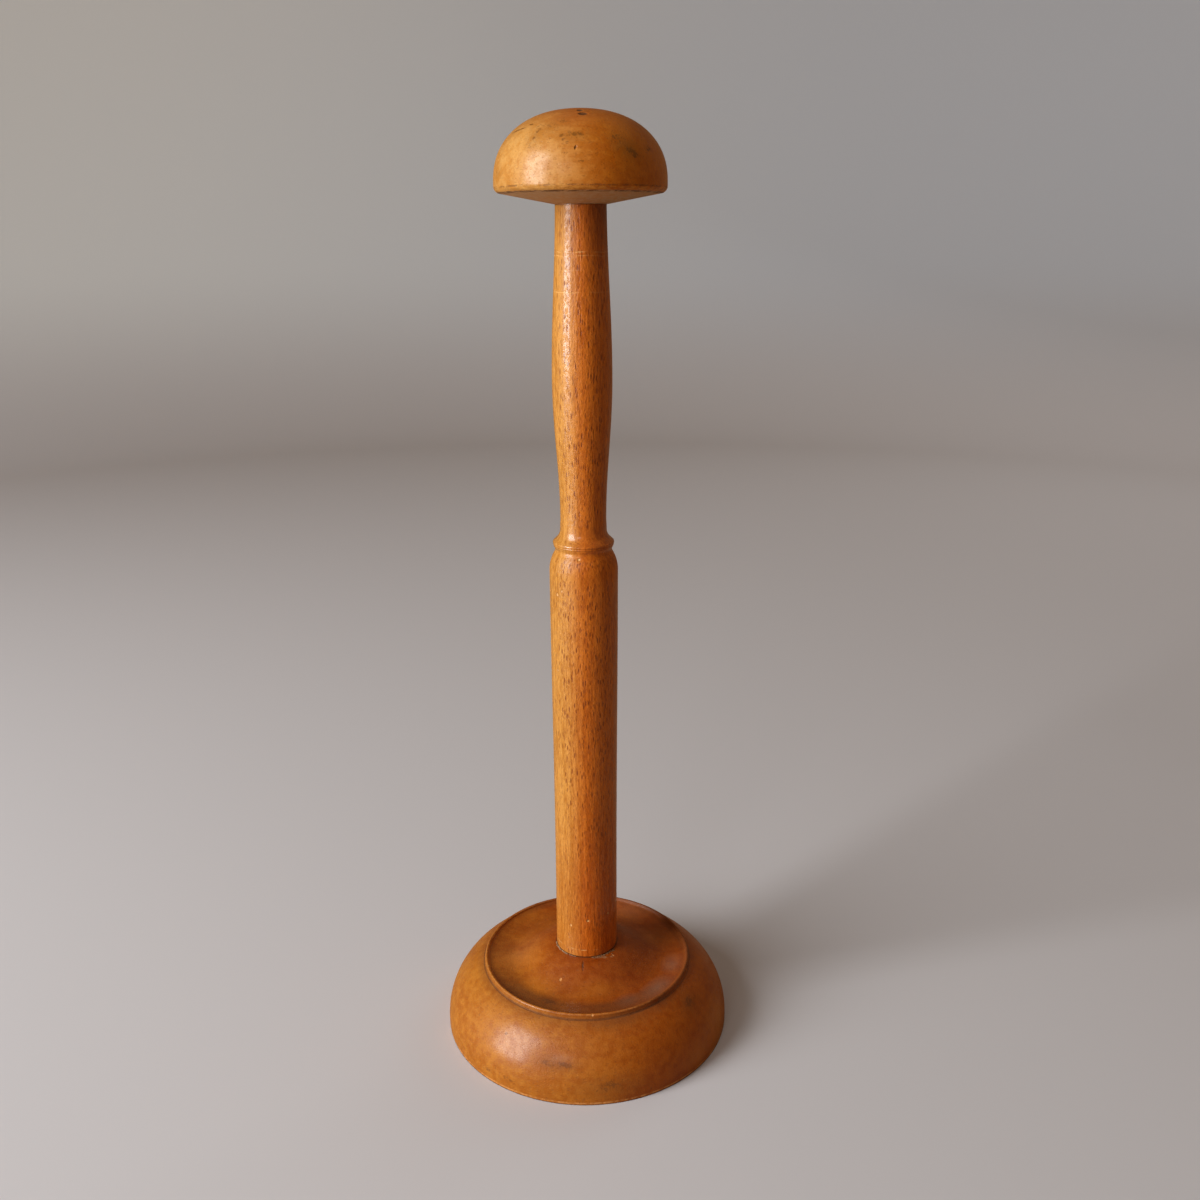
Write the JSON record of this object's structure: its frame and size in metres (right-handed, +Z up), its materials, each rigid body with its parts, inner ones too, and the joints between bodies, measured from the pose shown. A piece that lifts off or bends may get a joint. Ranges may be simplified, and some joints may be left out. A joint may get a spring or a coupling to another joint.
{
  "type": "hat stand",
  "caption": "Turned wooden hat stand: a dished round base with a raised ridge, a tall post with a bead and a vase-shaped upper part, and a smooth domed head.",
  "frame": {"origin": "middle of the standing rim, on the surface that the stand rests on", "axes": "+Z up along the post, which is the axis of every turned piece; X and Y are level and interchangeable"},
  "size_m": [0.125, 0.125, 0.381],
  "materials": {
    "base_wood": "reddish brown satin varnish, darkened in the dish and worn at the edges",
    "post_wood": "golden brown satin varnish over flecked beech",
    "head_wood": "golden satin varnish with smudges and a worn lower edge"
  },
  "bodies": {
    "root": {"base": "base_wood", "post": "post_wood", "head": "head_wood"}
  },
  "joints": []
}
